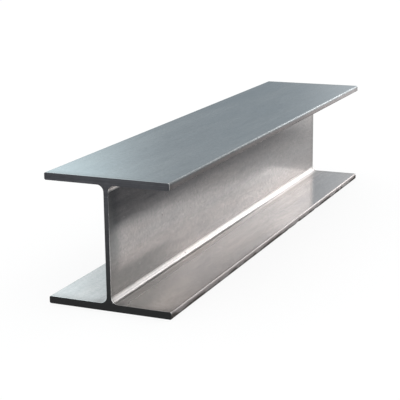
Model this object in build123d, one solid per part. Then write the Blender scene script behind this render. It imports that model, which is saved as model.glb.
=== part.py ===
from build123d import *
import os

# A hot-rolled steel H beam: one rolled piece with parallel flanges, sawn square to length.
# It lies on its lower flange, with its length along Y and its web upright in the plane X = 0.
# The origin is the middle of the lower flange's underside. All sizes are in millimetres.

# Driving dimensions of the rolled section
section_depth = 250.0  # over both flanges
flange_width = 250.0
web_thickness = 9.0
flange_thickness = 14.0
root_radius = 13.0  # hollow fillet that the rolls leave between web and flange
toe_radius = 3.0  # rounding of the four flange edges

# Driving dimensions of the cut piece
cut_length = 1175.0
edge_break = 0.5  # filed chamfer that takes the burr off each sawn end

on_line = 1e-6  # how near a corner lies to the line that it is picked by


def corners_at(section, half_width):
    """The corners of the section that stand half_width to either side of its centre line."""
    return section.vertices().filter_by(lambda corner: abs(abs(corner.X) - half_width) < on_line)


def rolled_section():
    """The H profile, upright in the XZ plane, with its lower flange on the X axis."""
    with BuildSketch(Plane.XZ) as section:
        with Locations((0, 0), (0, section_depth - flange_thickness)):
            Rectangle(flange_width, flange_thickness, align=(Align.CENTER, Align.MIN))
        with Locations((0, section_depth / 2)):
            Rectangle(web_thickness, section_depth - 2 * flange_thickness)
        fillet(corners_at(section, web_thickness / 2), root_radius)
        fillet(corners_at(section, flange_width / 2), toe_radius)
    return section.sketch


def sawn_length():
    """The section rolled out to its length, with the burr filed off round both sawn ends."""
    with BuildPart() as beam:
        extrude(rolled_section(), amount=cut_length / 2, both=True)
        sawn_ends = beam.faces().filter_by(Axis.Y)
        chamfer(sawn_ends.edges(), edge_break)
    return beam.part


os.makedirs("parts", exist_ok=True)
export_step(sawn_length(), "parts/h_beam.step")
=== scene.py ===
# %% [markdown]
# A short length of steel H beam lies on a pale floor. The solid model already has the true sizes, so
# this lesson adds what the eye looks for: a clean mesh with round fillets, a hot-rolled skin that is
# cool outside and warmer inside, dark sawn ends, and studio light that the steel can mirror.
# The first step loads the solid model as a fixed frame and keeps its box.

# %% Load the frame
import math

import bmesh
import bpy
from mathutils import Matrix, Vector


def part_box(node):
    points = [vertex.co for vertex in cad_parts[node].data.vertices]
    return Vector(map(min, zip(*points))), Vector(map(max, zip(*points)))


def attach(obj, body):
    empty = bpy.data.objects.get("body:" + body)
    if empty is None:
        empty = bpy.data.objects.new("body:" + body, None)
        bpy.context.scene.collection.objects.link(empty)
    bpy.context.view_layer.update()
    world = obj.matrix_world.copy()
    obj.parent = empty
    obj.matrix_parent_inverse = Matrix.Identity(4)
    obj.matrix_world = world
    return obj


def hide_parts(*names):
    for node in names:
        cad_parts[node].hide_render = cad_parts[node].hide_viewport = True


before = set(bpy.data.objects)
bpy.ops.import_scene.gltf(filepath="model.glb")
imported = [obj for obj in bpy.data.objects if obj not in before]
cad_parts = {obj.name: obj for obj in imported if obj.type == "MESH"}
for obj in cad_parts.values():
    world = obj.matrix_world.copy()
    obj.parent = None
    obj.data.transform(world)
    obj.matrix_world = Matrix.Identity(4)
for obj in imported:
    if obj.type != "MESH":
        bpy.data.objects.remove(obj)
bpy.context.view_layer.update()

beam_low, beam_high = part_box("h_beam")
flange_width, beam_length, section_depth = beam_high - beam_low
print("beam", round(flange_width, 4), round(beam_length, 4), round(section_depth, 4), "m")

# %% [markdown]
# The camera comes first, because every later choice is judged through it. The viewing angle was worked
# out from the straight edges of the beam in the photograph: the camera stands to the right of the near
# end, a little under three times as high as the beam, and looks down the length with a long lens.
# A heading, a tilt and a small roll are easier to read and to correct than a ready-made matrix.

# %% Set the camera
camera_place = Vector((0.9566, -2.3586, 0.7191))
camera_heading = math.radians(23.596)  # turned left from looking along +Y
camera_tilt = math.radians(14.308)  # below the horizon
camera_roll = math.radians(0.649)  # clockwise
camera_lens = 104.77  # mm
picture_side = 36  # mm, of the square picture behind the lens

camera_data = bpy.data.cameras.new("photo_camera")
camera_data.sensor_width = picture_side
camera_data.lens = camera_lens
camera = bpy.data.objects.new("photo_camera", camera_data)
bpy.context.scene.collection.objects.link(camera)
camera.matrix_world = (
    Matrix.Translation(camera_place)
    @ Matrix.Rotation(camera_heading, 4, "Z")
    @ Matrix.Rotation(math.pi / 2 - camera_tilt, 4, "X")
    @ Matrix.Rotation(-camera_roll, 4, "Z")
)
bpy.context.scene.camera = camera
print("camera", [round(value, 3) for value in camera.location], "lens", camera_lens)

# %% [markdown]
# A rolled beam is one bar of steel that the rolls squeeze into an H. By hand it is quickest to start
# from the upright web, mark the flange thickness on it with two level cuts, and pull the flanges out of
# its sides. That keeps the mesh in plain rectangles, which later bevels like. The alternative, a drawn
# outline that is pushed through, gives the same bar but leaves long faces that are hard to edit.

# %% Start from the web
web_thickness = 0.009
flange_thickness = 0.014

bpy.ops.object.select_all(action="DESELECT")
bpy.ops.mesh.primitive_cube_add(size=1)
beam = bpy.context.object
beam.name = "rolled_beam"
bpy.ops.object.mode_set(mode="EDIT")
bpy.ops.mesh.select_all(action="SELECT")
bpy.ops.transform.resize(value=(web_thickness, beam_length, section_depth))
bpy.ops.transform.translate(value=(0, 0, section_depth / 2))
for level in (flange_thickness, section_depth - flange_thickness):
    bpy.ops.mesh.select_all(action="SELECT")
    bpy.ops.mesh.bisect(plane_co=(0, 0, level), plane_no=(0, 0, 1))
print("web with its two level cuts:", len(bmesh.from_edit_mesh(beam.data).faces), "faces")

# %% Pull out the flanges
facing = 0.9  # how much of a normal points to a side, for its face to look that way


def select_parts(kind, wanted):
    """Selects the corners, edges or faces of the beam for which wanted(part) is true."""
    bpy.ops.mesh.select_mode(type=kind)
    bpy.ops.mesh.select_all(action="DESELECT")
    shape = bmesh.from_edit_mesh(beam.data)
    parts = {"VERT": shape.verts, "EDGE": shape.edges, "FACE": shape.faces}[kind]
    for part in parts:
        part.select_set(wanted(part))
    shape.select_flush_mode()
    bmesh.update_edit_mesh(beam.data)
    return sum(part.select for part in parts)


def in_a_flange(point):
    return not flange_thickness < point.z < section_depth - flange_thickness


def on_a_flange_half(face, side):
    return face.normal.x * side > facing and in_a_flange(face.calc_center_median())


flange_reach = (flange_width - web_thickness) / 2
for side in (-1, 1):
    picked = select_parts("FACE", lambda face: on_a_flange_half(face, side))
    bpy.ops.mesh.extrude_region_move(TRANSFORM_OT_translate={"value": (side * flange_reach, 0, 0)})
    print("pulled out", picked, "flange halves on side", side)

# %% [markdown]
# The rolls can't make a sharp corner. They leave a hollow fillet where web and flange meet, which is
# what catches the light along the whole beam, and a small round on each flange edge. Both are bevels of
# the edges that run along the beam, with many steps in the fillet, because a mirror shows every facet.

# %% Round the corners that the rolls leave
root_radius = 0.013
toe_radius = 0.003
root_steps = 16
toe_steps = 6
round_profile = 0.5
nearly = 1e-5


def runs_along(edge, half_width):
    """True if the edge runs along the beam at half_width to either side of its middle."""
    first, last = (corner.co for corner in edge.verts)
    lengthwise = abs(last.y - first.y) > nearly and (last - first).xz.length < nearly
    return lengthwise and abs(abs(first.x) - half_width) < nearly


def is_root(edge):
    level = edge.verts[0].co.z
    return runs_along(edge, web_thickness / 2) and nearly < level < section_depth - nearly


roots = select_parts("EDGE", is_root)
bpy.ops.mesh.bevel(offset=root_radius, segments=root_steps, profile=round_profile, affect="EDGES")
toes = select_parts("EDGE", lambda edge: runs_along(edge, flange_width / 2))
bpy.ops.mesh.bevel(offset=toe_radius, segments=toe_steps, profile=round_profile, affect="EDGES")
print("rounded", roots, "root edges and", toes, "toe edges")

# %% [markdown]
# A saw leaves each end as one flat face, but the cuts and bevels have split it into strips, which can
# shade as stripes. Dissolving the strips makes it one face again. Its rim then gets a very fine bevel,
# half a millimetre wide, because the burr is filed off and no real edge is perfectly sharp.

# %% Clean and break the sawn ends
edge_break = 0.0005
edge_break_steps = 2
square_to_length = 0.99


def is_sawn(face):
    return abs(face.normal.y) > square_to_length


def is_end_rim(edge):
    return sum(is_sawn(face) for face in edge.link_faces) == 1


strips = select_parts("FACE", is_sawn)
bpy.ops.mesh.dissolve_faces()
ends = select_parts("FACE", is_sawn)
rim = select_parts("EDGE", is_end_rim)
bpy.ops.mesh.bevel(offset=edge_break, segments=edge_break_steps, profile=round_profile, affect="EDGES")
print("joined", strips, "strips into", ends, "sawn ends and broke", rim, "edges round them")

# %% [markdown]
# The lower right edge has a few shallow dents, as from being set down on something hard. A dent needs
# cross cuts to bend at. A soft pull on the middle cut then takes its neighbours along, less and less
# with distance, which is gentler than moving single corners and leaves no crease.

# %% Dent the lower right edge
dents = ((0.051, 0.0006), (0.112, 0.0010), (0.245, 0.0008))  # place along the beam, and depth in and up
dent_reach = 0.016
cuts_each_way = 3


def cut_across(place):
    bpy.ops.mesh.select_all(action="SELECT")
    bpy.ops.mesh.bisect(plane_co=(0, place, 0), plane_no=(0, 1, 0))


def on_lower_right_toe(corner, place):
    beside = corner.co.x > flange_width / 2 - toe_radius - nearly
    return abs(corner.co.y - place) < nearly and beside and corner.co.z < toe_radius


for place, depth in dents:
    for step in range(-cuts_each_way, cuts_each_way + 1):
        cut_across(place + step * dent_reach / cuts_each_way)
    pulled = select_parts("VERT", lambda corner: on_lower_right_toe(corner, place))
    bpy.ops.transform.translate(
        value=(-depth, 0, depth),
        use_proportional_edit=True,
        proportional_edit_falloff="SMOOTH",
        proportional_size=dent_reach,
    )
    print("dent at", place, "pulled", pulled, "corners in and up by", depth)

# %% [markdown]
# Smooth shading belongs on the rounds and not on the flats. Edges that turn by more than a set angle
# stay sharp, and weighted normals let the large flat faces decide the shading beside the small ones, so
# a flange doesn't look pillowed. The finished mesh rides on the beam's body and stands for its solid.

# %% Finish the mesh
smooth_up_to = math.radians(40)

bpy.ops.mesh.select_all(action="SELECT")
bpy.ops.mesh.remove_doubles(threshold=nearly)
bpy.ops.mesh.normals_make_consistent(inside=False)
bpy.ops.object.mode_set(mode="OBJECT")
bpy.ops.object.shade_smooth_by_angle(angle=smooth_up_to)
flat_faces = beam.modifiers.new("flat_faces_stay_flat", "WEIGHTED_NORMAL")
flat_faces.keep_sharp = True
bpy.ops.object.modifier_apply(modifier=flat_faces.name)

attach(beam, "root")
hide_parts("h_beam")
print("beam mesh:", len(beam.data.polygons), "faces")

# %% [markdown]
# Hot-rolled steel isn't one grey. The scale on it is cloudy over a hand's width, grainy over a finger's
# width and flecked at a few millimetres. Rolling draws the clouds and the grain out along the beam and
# leaves faint streaks, while the flecks form later and stay round. The sawn ends are cloudy and grainy
# too, so these patterns go into one node group with named sizes, and each material sets its own.
# A small helper adds nodes, since a material is mostly a list of nodes and what feeds them.


# %% Helpers for nodes
def add_node(tree, kind, inputs=(), **settings):
    """Adds a node. inputs pairs a socket's name or number with a value or with another node's output."""
    made = tree.nodes.new("ShaderNode" + kind)
    for name, value in settings.items():
        setattr(made, name, value)
    for socket, value in dict(inputs).items():
        if isinstance(value, bpy.types.NodeSocket):
            tree.links.new(value, made.inputs[socket])
        else:
            made.inputs[socket].default_value = value
    return made


def maths(tree, operation, first, second=0.0):
    return add_node(tree, "Math", {0: first, 1: second}, operation=operation).outputs[0]


def product(tree, first, *others):
    """All the values multiplied. Of masks, that is where all of them meet."""
    for other in others:
        first = maths(tree, "MULTIPLY", first, other)
    return first


def opposite(tree, mask):
    """A mask of everywhere that the given one isn't."""
    return maths(tree, "SUBTRACT", 1.0, mask)


def ranged(tree, value, start, end, low=0.0, high=1.0):
    """Turns value from start to end smoothly into low to high."""
    sockets = {"Value": value, "From Min": start, "From Max": end, "To Min": low, "To Max": high}
    return add_node(tree, "MapRange", sockets, interpolation_type="SMOOTHSTEP").outputs[0]


def mixed(tree, share, first, second, blend="MIX"):
    """Mixes two colours by share, from all first to all second."""
    made = add_node(tree, "Mix", {0: share, 6: first, 7: second}, data_type="RGBA", blend_type=blend)
    return made.outputs[2]


def tinted(tree, share, colour, tint):
    """The colour, multiplied by the tint where share is 1."""
    return mixed(tree, share, colour, tint, "MULTIPLY")


def new_group(name, inputs, outputs):
    """An empty shader node group with its named sockets, and its two end nodes."""
    group = bpy.data.node_groups.new(name, "ShaderNodeTree")
    for label, kind in inputs.items():
        group.interface.new_socket(label, in_out="INPUT", socket_type="NodeSocket" + kind)
    for label in outputs:
        group.interface.new_socket(label, in_out="OUTPUT", socket_type="NodeSocketFloat")
    return group, group.nodes.new("NodeGroupInput"), group.nodes.new("NodeGroupOutput")


print("node helpers ready")

# %% Group for clouds, grain, streaks and flecks
fleck_to_grain = 0.55  # the size of a fleck beside that of a grain

mottle_inputs = {"Place": "Vector", "Cloud Size": "Float", "Grain Size": "Float", "Stretch": "Float"}
mottle_outputs = ("Clouds", "Grain", "Streaks", "Flecks")
steel_mottle, entry, leave = new_group("steel_mottle", mottle_inputs, mottle_outputs)


def noise(tree, place, size, detail, fineness=0.65):
    """Noise of a size. fineness is how strong each finer layer is beside the one before it."""
    scale = maths(tree, "DIVIDE", 1.0, size)
    sockets = {"Vector": place, "Scale": scale, "Detail": detail, "Roughness": fineness}
    return add_node(tree, "TexNoise", sockets).outputs["Fac"]


def drawn_out(tree, place, stretch):
    """The place, squeezed along the beam, so that a pattern on it comes out longer that way."""
    along = maths(tree, "DIVIDE", 1.0, stretch)
    squeeze = add_node(tree, "CombineXYZ", {0: 1.0, 1: along, 2: 1.0}).outputs[0]
    return add_node(tree, "VectorMath", {0: place, 1: squeeze}, operation="MULTIPLY").outputs[0]


spot, stretch = entry.outputs["Place"], entry.outputs["Stretch"]
cloud_size, grain_size = entry.outputs["Cloud Size"], entry.outputs["Grain Size"]
half_drawn = drawn_out(steel_mottle, spot, maths(steel_mottle, "SQRT", stretch))
fleck_size = product(steel_mottle, grain_size, fleck_to_grain)
patterns = {
    "Clouds": noise(steel_mottle, half_drawn, cloud_size, detail=3),
    "Grain": noise(steel_mottle, half_drawn, grain_size, detail=5, fineness=0.8),
    "Streaks": noise(steel_mottle, drawn_out(steel_mottle, spot, stretch), grain_size, detail=3),
    "Flecks": noise(steel_mottle, spot, fleck_size, detail=4, fineness=0.75),
}
for label, pattern in patterns.items():
    steel_mottle.links.new(pattern, leave.inputs[label])
print("group", steel_mottle.name, "gives", ", ".join(patterns))

# %% [markdown]
# Here and there the scale has chipped off and left a pinhead pit, and dust lodges in it. A cell pattern
# gives one point in each cell. Keeping only the cells whose random colour falls under a share makes the
# specks scattered and rare, which a plain dot pattern never looks.

# %% Group for scattered specks
speck_core = 0.4  # of a speck's size, within which it is full

speck_inputs = {"Place": "Vector", "Spacing": "Float", "Size": "Float", "Share": "Float"}
scattered_specks, entry, leave = new_group("scattered_specks", speck_inputs, ("Specks",))

cell_scale = maths(scattered_specks, "DIVIDE", 1.0, entry.outputs["Spacing"])
cells = add_node(scattered_specks, "TexVoronoi", {"Vector": entry.outputs["Place"], "Scale": cell_scale})
reach = maths(scattered_specks, "DIVIDE", entry.outputs["Size"], entry.outputs["Spacing"])
core = product(scattered_specks, reach, speck_core)
dot = ranged(scattered_specks, cells.outputs["Distance"], reach, core)
draw = add_node(scattered_specks, "SeparateColor", {0: cells.outputs["Color"]}).outputs[0]
chosen = maths(scattered_specks, "LESS_THAN", draw, entry.outputs["Share"])
scattered_specks.links.new(product(scattered_specks, dot, chosen), leave.inputs["Specks"])
print("group", scattered_specks.name, "gives Specks")

# %% Place the groups in a material
noise_low, noise_high = 0.25, 0.75  # most of a noise lies between these


def new_material(name):
    """A material and its node tree."""
    material = bpy.data.materials.new(name)
    material.use_nodes = True
    return material, material.node_tree


def shader_and_place(tree):
    """The shader of a tree, and the place on the piece as a vector."""
    return tree.nodes["Principled BSDF"], add_node(tree, "TexCoord").outputs["Object"]


def add_group(tree, group, **values):
    """Places a group with its values. In their names an underscore stands for a space."""
    made = tree.nodes.new("ShaderNodeGroup")
    made.node_tree = group
    for label, value in values.items():
        socket = made.inputs[label.replace("_", " ")]
        if isinstance(value, bpy.types.NodeSocket):
            tree.links.new(value, socket)
        else:
            socket.default_value = value
    return made


def swing(tree, pattern, amount, middle=1.0):
    """Turns a noise into a factor around middle that swings by amount each way."""
    return ranged(tree, pattern, noise_low, noise_high, middle - amount, middle + amount)


print("material helpers ready")

# %% [markdown]
# The rolled skin is bare steel with a thin even scale, so it is a metal shader with a middling base
# colour. The outer flange faces are bluer and the inside of the trough is warmer, partly the scale's own
# tint and partly a painted reflection of the cool walls above and of the warm steel inside the trough.
# Clouds, grain, streaks and flecks swing the brightness by an eighth at the very most, and mostly by a
# few parts in a hundred, as on the real surface. The flecks also turn it from pinkish to greenish.
# Painting by height on the piece keeps the colours where they belong.

# %% Colour of the rolled skin
inner_steel = (0.349, 0.331, 0.324, 1)
# the bluer outer faces and warmer inside are partly the scale's own tint, partly a painted reflection
outer_steel = (0.302, 0.335, 0.346, 1)
cloud_tints = (0.95, 1.0, 1.04, 1), (1.05, 1.0, 0.965, 1)  # bluish and rosy
fleck_tints = (0.94, 1.03, 1.0, 1), (1.06, 0.97, 1.0, 1)  # greenish and pinkish
skin_swings = {"Clouds": 0.06, "Grain": 0.09, "Streaks": 0.02, "Flecks": 0.125}
calmer_outside = 0.1  # how much weaker the swings are on the outer faces
half_depth = section_depth / 2

skin, tree = new_material("rolled_skin")
shader, place = shader_and_place(tree)
across, lengthwise, height = add_node(tree, "SeparateXYZ", {0: place}).outputs
mottle = add_group(tree, steel_mottle, Place=place, Cloud_Size=0.06, Grain_Size=0.012, Stretch=40.0)

from_middle = maths(tree, "ABSOLUTE", maths(tree, "SUBTRACT", height, half_depth))
outside = ranged(tree, from_middle, half_depth - flange_thickness / 2, half_depth - toe_radius / 2)
colour = mixed(tree, outside, inner_steel, outer_steel)
for label, tints in (("Clouds", cloud_tints), ("Flecks", fleck_tints)):
    colour = tinted(tree, 1.0, colour, mixed(tree, mottle.outputs[label], *tints))
lively = opposite(tree, product(tree, outside, calmer_outside))
for label, amount in skin_swings.items():
    colour = tinted(tree, lively, colour, swing(tree, mottle.outputs[label], amount))
print("rolled skin: colour by height, with", ", ".join(skin_swings))

# %% [markdown]
# The flange edges run free between the rolls, so they stay rougher than the faces. Their colour is
# painted darker by the near end and brighter by the far one, a painted shade and a painted highlight for
# the light that they mirror along the beam. The lower edges lie on the ground, so they are brown in
# patches. The edges could be faces with a material of their own, but that would end in a hard line. A
# mask by the place across the beam fades over the round of the toe, as wear does.

# %% Flange edges
high_edge_tint = (0.86, 0.83, 0.83, 1)
low_edge_tint = (0.60, 0.565, 0.555, 1)
rusty_edge_tint = (0.40, 0.35, 0.345, 1)
# painted shade on the edges by the near end, and painted highlight on them by the far end
near_edge_shade = (0.84, 0.63)  # brightness of the low and of the high edges at the near end
far_edge_highlight = 1.30  # and of all of them at the far end
patch_size = 0.045
patch_range = (0.38, 0.62)  # of the noise, where a patch starts and where it is full
half_length = beam_length / 2


def along_the_edges(near, far):
    """A value for the edges: near holds one for the low and one for the high edges, far one for all."""
    at_near_end = ranged(tree, height, flange_thickness, section_depth - flange_thickness, *near)
    return ranged(tree, lengthwise, -half_length, half_length, at_near_end, far)


aside = maths(tree, "ABSOLUTE", across)
edges = ranged(tree, aside, flange_width / 2 - toe_radius, flange_width / 2 - toe_radius / 3)
low_edge = ranged(tree, height, flange_thickness - toe_radius / 2, flange_thickness - 2 * toe_radius)
patches = ranged(tree, noise(tree, place, patch_size, detail=3), *patch_range)
low_tint = mixed(tree, patches, low_edge_tint, rusty_edge_tint)
edge_tint = mixed(tree, low_edge, high_edge_tint, low_tint)
# painted shade by the near end and painted highlight by the far end of the edges
edge_tint = tinted(tree, 1.0, edge_tint, along_the_edges(near_edge_shade, far_edge_highlight))
colour = tinted(tree, edges, colour, edge_tint)
print("rolled skin: edges with patches of", patch_size, "m")

# %% [markdown]
# The shoulders of the rolls rub the root fillets bare, so these are paler, and the paler colour is also
# a painted highlight that keeps the white line they mirror bright. A fillet lies where two bands meet,
# one beside the web and one beside a flange, so its mask is the product of two plain ones. That is
# easier to keep right than picking the faces, and it lets the fillet run out softly on its flange.

# %% Root fillets
# paler fillets: partly rubbed steel, partly a painted highlight for the white line they mirror
pale_fillet_and_highlight = (1.35, 1.35, 1.35, 1)
fillet_blend = 0.0016  # to either side of where a fillet starts
fillet_fade = 0.004  # where a fillet runs out on its flange
root_reach = web_thickness / 2 + root_radius
root_start = half_depth - flange_thickness - root_radius

by_the_web = ranged(tree, aside, root_reach + fillet_fade, root_reach - fillet_blend)
by_the_web = product(tree, by_the_web, opposite(tree, outside))
by_a_flange = ranged(tree, from_middle, root_start - fillet_blend, root_start + fillet_blend)
fillets = product(tree, by_the_web, by_a_flange)
colour = tinted(tree, fillets, colour, pale_fillet_and_highlight)
print("rolled skin: fillets", pale_fillet_and_highlight[0], "times as bright")

# %% [markdown]
# A painted shade darkens the foot of the web towards the near end, weaker on the fillet, and a painted
# highlight makes the right lower flange paler there. The web is also darker right by the near cut. All
# of these only tint the steel, so its clouds and flecks show through, where a painted layer would hide
# them.

# %% Painted shade and highlight, and a darker web by the cut
# painted shade on the foot of the web, and painted highlight on the right lower flange
painted_shade_tint = (0.62, 0.65, 0.655, 1)
fillet_shade_spares = 0.55  # how much of the stain the fillets shed
painted_shade_top = (0.078, 0.060)  # in height, where the stain starts and where it is full
painted_shade_from = (-0.25, -0.43)  # along the beam, where the stain starts and where it is full
cut_darkening_from = (-0.53, -0.57)
flange_highlight_tint = (1.20, 1.18, 1.14, 1)
flange_highlight_from = (-0.36, -0.53)
flange_highlight_fade = 0.02  # beside the fillet

# painted shade: the foot of the web darker towards the near end
painted_shade_and_cut_darkening = product(tree, ranged(tree, height, *painted_shade_top), ranged(tree, lengthwise, *painted_shade_from))
# the web is also darker right by the near cut
painted_shade_and_cut_darkening = maths(tree, "MAXIMUM", painted_shade_and_cut_darkening, ranged(tree, lengthwise, *cut_darkening_from))
shaded_web = maths(tree, "SUBTRACT", by_the_web, product(tree, fillets, fillet_shade_spares))
colour = tinted(tree, product(tree, painted_shade_and_cut_darkening, shaded_web), colour, painted_shade_tint)

# painted highlight: the right lower flange paler towards the near end
painted_flange_highlight = ranged(tree, across, root_reach, root_reach + flange_highlight_fade)
low_down = ranged(tree, height, flange_thickness + root_radius, flange_thickness)
painted_flange_highlight = product(tree, painted_flange_highlight, low_down, ranged(tree, lengthwise, *flange_highlight_from), opposite(tree, edges))
colour = tinted(tree, painted_flange_highlight, colour, flange_highlight_tint)
print("rolled skin: stain up to", painted_shade_top[0], "m high, scorch and dust")

# %% [markdown]
# The last few centimetres at both ends are darker, and a bright hairline beside each cut is a painted
# highlight. Along the lower edges the foot is dark from the ground up, dirt and a painted contact
# shadow, highest in the rusty patches and by the ends. It and the specks hide the steel, so they are
# mixed in last instead of tinting it.

# %% Darker ends, painted highlight by the cut, dark foot and specks
dark_dirt_and_shade = (0.05, 0.045, 0.04, 1)
darker_end_length = 0.03
darker_end_share = 0.2
# painted highlight: a bright line beside each cut
cut_highlight_width = 0.0018
cut_highlight_colour = (0.80, 0.80, 0.80, 1)
foot_height = (0.0045, 0.0085)  # of the dirt, beside a rusty patch and on it
foot_full = 0.5  # of that height, below which the dirt hides the edge
dirt_and_shadow_by_end = (0.045, 0.006)  # from an end, where the dirt starts to climb and where it is highest

from_end = maths(tree, "SUBTRACT", half_length, maths(tree, "ABSOLUTE", lengthwise))
# the steel darker within the last few centimetres at both ends
darker_ends = ranged(tree, from_end, darker_end_length, 0.0, 0.0, darker_end_share)
# painted highlight along the cut edge
cut_highlight = ranged(tree, from_end, cut_highlight_width, cut_highlight_width / 2)
foot_top = ranged(tree, patches, 0.0, 1.0, *foot_height)
end_dirt_and_shadow = ranged(tree, from_end, *dirt_and_shadow_by_end, 0.0, flange_thickness)
foot_top = maths(tree, "MAXIMUM", foot_top, end_dirt_and_shadow)
# the foot: dirt and a painted contact shadow on the lower edges, highest in rusty patches and by the
# ends
foot = product(tree, edges, ranged(tree, height, foot_top, product(tree, foot_top, foot_full)))
skin_specks = add_group(tree, scattered_specks, Place=place, Spacing=0.036, Size=0.0022, Share=0.3)
specks = skin_specks.outputs["Specks"]
for mask, cover in ((darker_ends, dark_dirt_and_shade), (cut_highlight, cut_highlight_colour), (foot, dark_dirt_and_shade), (specks, dark_dirt_and_shade)):
    colour = mixed(tree, mask, colour, cover)
tree.links.new(colour, shader.inputs["Base Color"])
print("rolled skin: burnt ends of", darker_end_length, "m, dirty foot and specks")

# %% [markdown]
# Roughness follows the same patterns, because a cloud in the scale is a change of gloss as much as of
# colour. The inside of the trough is duller in its far half, where the mirror images blur. Specks, the
# darker ends, free edges and the rubbed flange by the fillets are duller still, and the dirt and painted
# shadow at the foot aren't metal at all, so they mirror nothing. Adding each to one roughness is simpler
# than a shader for each.

# %% Gloss of the rolled skin
skin_roughness = 0.15
cloud_gloss, streak_gloss = 0.03, 0.02
far_dullness = 0.06
far_dull_from = half_length / 6
near_edge_dullness = (0.28, 0.4)  # added on the low and on the high edges at the near end
far_edge_dullness = 0.2
rubbed_reach = 0.03  # how far beside a fillet the rolls rub its flange
rubbed_dullness = 0.17
speck_dullness = 0.3
darker_end_dullness = 0.4
foot_dullness = 0.4
dirt_sheen = 0.1

gloss = swing(tree, mottle.outputs["Clouds"], cloud_gloss, skin_roughness)
gloss = maths(tree, "ADD", gloss, swing(tree, mottle.outputs["Streaks"], streak_gloss, 0.0))
far_half = ranged(tree, lengthwise, far_dull_from, half_length, 0.0, far_dullness)
for bright_part in (outside, edges, fillets):
    far_half = product(tree, far_half, opposite(tree, bright_part))
gloss = maths(tree, "ADD", gloss, far_half)
rubbed = ranged(tree, aside, root_reach + rubbed_reach, root_reach)
rubbed = product(tree, rubbed, maths(tree, "SUBTRACT", by_a_flange, outside))
duller = (
    (specks, speck_dullness),
    (darker_ends, darker_end_dullness),
    (edges, along_the_edges(near_edge_dullness, far_edge_dullness)),
    (rubbed, rubbed_dullness),
    (foot, foot_dullness),
)
for mask, added in duller:
    gloss = maths(tree, "ADD", gloss, product(tree, mask, added))
tree.links.new(gloss, shader.inputs["Roughness"])
# the dirt and painted contact shadow at the foot are no metal, so they mirror nothing
tree.links.new(opposite(tree, foot), shader.inputs["Metallic"])
shader.inputs["Specular IOR Level"].default_value = dirt_sheen
print("rolled skin: roughness about", skin_roughness)

# %% [markdown]
# A very low bump bends the mirror images a little, as rolled steel does: the grain, long waves with the
# clouds, and a pit under each speck. Real bumps in the mesh would need millions of faces to be as fine.

# %% Relief of the rolled skin
grain_relief = 0.000004
wave_height, pit_depth = 6.0, 8.0  # beside the grain

waves = product(tree, mottle.outputs["Clouds"], wave_height)
pits = product(tree, specks, pit_depth)
relief = maths(tree, "SUBTRACT", maths(tree, "ADD", mottle.outputs["Grain"], waves), pits)
bump = add_node(tree, "Bump", {"Strength": 1.0, "Distance": grain_relief, "Height": relief})
tree.links.new(bump.outputs[0], shader.inputs["Normal"])
print("rolled skin: relief", grain_relief, "m")

# %% [markdown]
# The sawn ends are painted nearly black, a painted shade for the dark that they face, and paler
# towards the top, a painted shade that deepens towards the ground.
# A band saw leaves fine lines across the cut. They are a noise stretched along the blade's travel and
# turned by a few degrees, since the blade is never quite level. Colour, gloss and relief share it.

# %% Sawn ends
# painted shade: the near black of the sawn ends, darkest at the bottom
low_end_shade = (0.0125, 0.0129, 0.0132, 1)
high_end_shade = (0.060, 0.0605, 0.067, 1)
saw_tilt = math.radians(4)
saw_pitch = 0.0014
saw_stretch = 60.0
saw_relief = 0.00005
cloud_swing, grain_swing, saw_swing = 0.12, 0.12, 0.2
rusty_speck = (0.09, 0.07, 0.055, 1)
sawn_roughness, saw_gloss = 0.5, 0.08
sawn_metal_share = 0.3
sawn_sheen = 0.25

sawn, tree = new_material("sawn_end")
shader, place = shader_and_place(tree)
height = add_node(tree, "SeparateXYZ", {0: place}).outputs["Z"]
mottle = add_group(tree, steel_mottle, Place=place, Cloud_Size=0.04, Grain_Size=0.003, Stretch=1.0)
specks = add_group(tree, scattered_specks, Place=place, Spacing=0.02, Size=0.001, Share=0.25)

sockets = {"Vector": place, "Rotation": (0, saw_tilt, 0), "Scale": (1 / saw_stretch, 1, 1)}
blade_way = add_node(tree, "Mapping", sockets).outputs[0]
saw_marks = noise(tree, blade_way, saw_pitch, detail=2)

# painted shade, darker towards the ground
colour = mixed(tree, ranged(tree, height, 0.0, section_depth), low_end_shade, high_end_shade)
clouds, grain = mottle.outputs["Clouds"], mottle.outputs["Grain"]
for pattern, amount in ((clouds, cloud_swing), (grain, grain_swing), (saw_marks, saw_swing)):
    colour = tinted(tree, 1.0, colour, swing(tree, pattern, amount))
colour = mixed(tree, specks.outputs["Specks"], colour, rusty_speck)
tree.links.new(colour, shader.inputs["Base Color"])
tree.links.new(swing(tree, saw_marks, saw_gloss, sawn_roughness), shader.inputs["Roughness"])
bump = add_node(tree, "Bump", {"Strength": 1.0, "Distance": saw_relief, "Height": saw_marks})
tree.links.new(bump.outputs[0], shader.inputs["Normal"])
shader.inputs["Metallic"].default_value = sawn_metal_share
shader.inputs["Specular IOR Level"].default_value = sawn_sheen
print("sawn end: saw lines", saw_pitch, "m apart, roughness about", sawn_roughness)

# %% [markdown]
# The beam is one piece, so its mesh carries both finishes, and each face takes one by its normal. The
# fine bevel round a cut counts as sawn, so that the dark end keeps its full outline.

# %% Put the finishes on the beam
turned_to_end = 0.2  # how much of a normal points to an end, for its face to be sawn

beam.data.materials.clear()
for finish in (skin, sawn):
    beam.data.materials.append(finish)
for face in beam.data.polygons:
    face.material_index = 1 if abs(face.normal.y) > turned_to_end else 0
print("sawn faces:", sum(face.material_index for face in beam.data.polygons))

# %% [markdown]
# The floor is a large sheet of pale paper. Light alone would leave a deep shadow under the flanges, so
# part of what the camera, and the steel, see of it is plain white, and the rest is lit paper that keeps
# the beam's shadow. The light on the beam stays the same either way.

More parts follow.
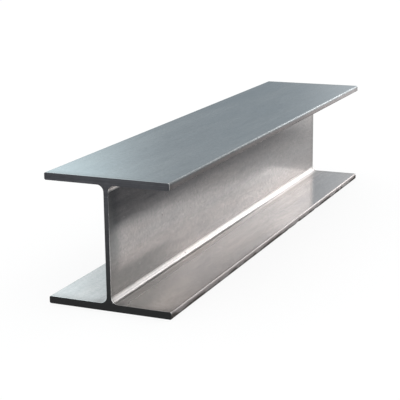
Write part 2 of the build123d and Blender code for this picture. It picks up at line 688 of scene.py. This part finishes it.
# %% Lay the floor
floor_size = 60
floor_gap = 0.0004  # under the beam, so that no two faces share a place
paper_white = 0.93
paper_roughness = 0.9
paper_sheen = 0.1
plain_white = (1, 1, 1, 1)
plain_white_share = 0.85

bpy.ops.object.select_all(action="DESELECT")
bpy.ops.mesh.primitive_plane_add(size=floor_size, location=(0, 0, -floor_gap))
floor = bpy.context.object
floor.name = "floor"

paper, tree = new_material("pale_paper")
shader = tree.nodes["Principled BSDF"]
shader.inputs["Base Color"].default_value = (paper_white, paper_white, paper_white, 1)
shader.inputs["Roughness"].default_value = paper_roughness
shader.inputs["Specular IOR Level"].default_value = paper_sheen
rays = add_node(tree, "LightPath").outputs
seen = maths(tree, "MAXIMUM", rays["Is Camera Ray"], rays["Is Glossy Ray"])
seen = maths(tree, "MAXIMUM", seen, rays["Is Transmission Ray"])
share = product(tree, seen, plain_white_share)
white = add_node(tree, "Emission", {"Color": plain_white, "Strength": 1.0})
blend = add_node(tree, "MixShader", {0: share, 1: shader.outputs[0], 2: white.outputs[0]})
tree.links.new(blend.outputs[0], tree.nodes["Material Output"].inputs["Surface"])
floor.data.materials.append(paper)
print("floor", floor_size, "m wide, white", paper_white)

# %% [markdown]
# Steel shows what it mirrors, so the room matters more than any lamp. The walls of this small studio are
# a cool grey, which the upper flange mirrors, and its ceiling is white and lights the paper. Curtained
# windows glow on the walls. Their edges are soft, which gives the steel its long even gradients, where a
# lamp with a hard edge would show as a stripe. The front of the room is a dimmer copy of the back, so
# that the beam is lit from both ends, with its brighter side away from the camera. The camera itself
# sees plain white past the floor's edge.

# %% Build the room
wall_colour = (0.296, 0.348, 0.387, 1)
ceiling_colour = (1.1, 1.1, 1.1, 1)
wall_up_to = 0.106  # sine of the height in the sky
ceiling_from = 0.6
front_level = 0.4  # of the windows in front of the beam, beside those behind it
turn = 0.2  # sine of the angle to either side over which that level changes

world = bpy.data.worlds.new("studio")
bpy.context.scene.world = world
world.use_nodes = True
tree = world.node_tree
heading = add_node(tree, "TexCoord").outputs["Generated"]
to_right, to_back, rise = add_node(tree, "SeparateXYZ", {0: heading}).outputs
same_both_ways = maths(tree, "ABSOLUTE", to_back)
azimuths = maths(tree, "DEGREES", maths(tree, "ARCTAN2", to_right, same_both_ways))
elevations = maths(tree, "DEGREES", maths(tree, "ARCSINE", rise))
window_level = ranged(tree, to_back, -turn, turn, front_level, 1.0)
share = add_node(tree, "MapRange", {"Value": rise, "From Min": wall_up_to, "From Max": ceiling_from})
sky = mixed(tree, share.outputs[0], wall_colour, ceiling_colour)
print("room from", wall_colour[:3], "to", ceiling_colour[:3])

# %% [markdown]
# A window is a middle, a half width and height, and the width of its fade to each side, all as angles
# seen from the beam, because that is what a mirror shows. The wide window at the back has two panes, the
# left one dimmer. Its right pane shines along the trough, and the fade at its right side darkens the
# lower flange towards the near end. The small bright window above it draws the white line in the fillet.
# The low one on the right brightens the upper half of the fillet, and the one on the left the near
# corner of the upper flange and the left side of the lower. A dim window in each side wall keeps the
# flanges light when the beam is seen from the side.

# %% Open the windows
def window(sky, light, middle, half_size, fades):
    """The sky with one more window. Angles are in degrees, azimuth is to the right of +Y.

    The fades are at the left side, at the right side, and at the top and bottom.
    """
    half_width, half_height = half_size
    left_fade, right_fade, level_fade = fades
    aside = maths(tree, "SUBTRACT", azimuths, middle[0])
    above = maths(tree, "ABSOLUTE", maths(tree, "SUBTRACT", elevations, middle[1]))
    right_share = ranged(tree, aside, half_width, half_width + right_fade, 1.0, 0.0)
    left_share = ranged(tree, aside, -half_width, -half_width - left_fade, 1.0, 0.0)
    level_share = ranged(tree, above, half_height, half_height + level_fade, 1.0, 0.0)
    share = product(tree, right_share, left_share, level_share, window_level)
    return mixed(tree, share, sky, light, "ADD")


# The wide window's right and left pane
sky = window(sky, (1.35, 1.33, 1.31, 1), middle=(19.2, 13.5), half_size=(7.2, 13.4), fades=(9, 7.5, 14))
sky = window(sky, (0.6, 0.6, 0.6, 1), middle=(-4.5, 13.5), half_size=(7.5, 13.4), fades=(8, 9, 14))
# The small bright one, the low one on the right and the one on the left
sky = window(sky, (6.8, 6.8, 6.8, 1), middle=(16.2, 27.8), half_size=(1.7, 5), fades=(4.7, 3.4, 11.6))
sky = window(sky, (2.47, 2.40, 2.33, 1), middle=(28.7, 4.2), half_size=(6, 4.4), fades=(17.7, 10, 3))
sky = window(sky, (1.26, 1.49, 1.53, 1), middle=(-38.5, 27), half_size=(5, 10.8), fades=(12, 9, 10.4))
# The dim ones in the side walls
for side in (-90, 90):
    sky = window(sky, (0.60, 0.61, 0.62, 1), middle=(side, 15), half_size=(26, 11), fades=(14, 14, 14))
seen_directly = add_node(tree, "LightPath").outputs["Is Camera Ray"]
sky = mixed(tree, seen_directly, sky, plain_white)
tree.links.new(sky, tree.nodes["Background"].inputs["Color"])
print("room with five windows at its ends and one on each side")

# %% [markdown]
# A mirror needs something dark in front of it, or it looks like paint. Studios lay dark cards out of
# the picture for that. Here they lie on both sides of the beam, beyond a strip of pale floor, and give
# the upper web its dark band. Their inner edge is crisp by the near end and softer further along, and a
# thin grey film past the far end tones down what the far web mirrors. They are seen in the steel only:
# they shade nothing, and the camera looks through them.

# %% Lay dark cards beside the beam
card_lift = 0.0004  # over the level of the underside
card_size = 8.0
card_colour = (0.134, 0.139, 0.150, 1)
crisp_until, soft_from = -0.05, 0.7  # along the beam
crisp_edge = (0.235, 0.286)  # from the middle of the beam, where the card starts and where it is full
soft_edge = (0.064, 0.375)
card_width = (0.6, 1.1)  # from the middle of the beam, where the card fades out
card_end = (1.07, 1.47)  # along the beam, where the card fades out
film_share = 0.28
film_fade = (0.60, 0.78)  # along the beam, where the film starts and where it is full

bpy.ops.object.select_all(action="DESELECT")
bpy.ops.mesh.primitive_plane_add(size=card_size, location=(0, 0, card_lift))
cards = bpy.context.object
cards.name = "dark_cards"
cards.visible_camera = False
cards.visible_diffuse = False
cards.visible_shadow = False
cards.visible_transmission = False

card_paint, tree = new_material("dark_card")
place = add_node(tree, "TexCoord").outputs["Object"]
across, lengthwise = add_node(tree, "SeparateXYZ", {0: place}).outputs[:2]
aside = maths(tree, "ABSOLUTE", across)
inner = ranged(tree, lengthwise, crisp_until, soft_from, crisp_edge[0], soft_edge[0])
outer = ranged(tree, lengthwise, crisp_until, soft_from, crisp_edge[1], soft_edge[1])
film = ranged(tree, lengthwise, *film_fade, 0.0, film_share)
cover = product(tree, ranged(tree, aside, inner, outer), ranged(tree, aside, *card_width, 1.0, 0.0))
cover = maths(tree, "MAXIMUM", cover, film)
cover = product(tree, cover, ranged(tree, lengthwise, *card_end, 1.0, 0.0))
dark = add_node(tree, "Emission", {"Color": card_colour, "Strength": 1.0})
clear = add_node(tree, "BsdfTransparent")
blend = add_node(tree, "MixShader", {0: cover, 1: clear.outputs[0], 2: dark.outputs[0]})
tree.links.new(blend.outputs[0], tree.nodes["Material Output"].inputs["Surface"])
cards.data.materials.append(card_paint)
print("dark cards", card_size, "m wide")

# %% [markdown]
# The picture is shown as it is rendered, with no film look over it, so that the colours written above
# are the colours seen.

# %% Show the colours as rendered
bpy.context.scene.view_settings.view_transform = "Standard"
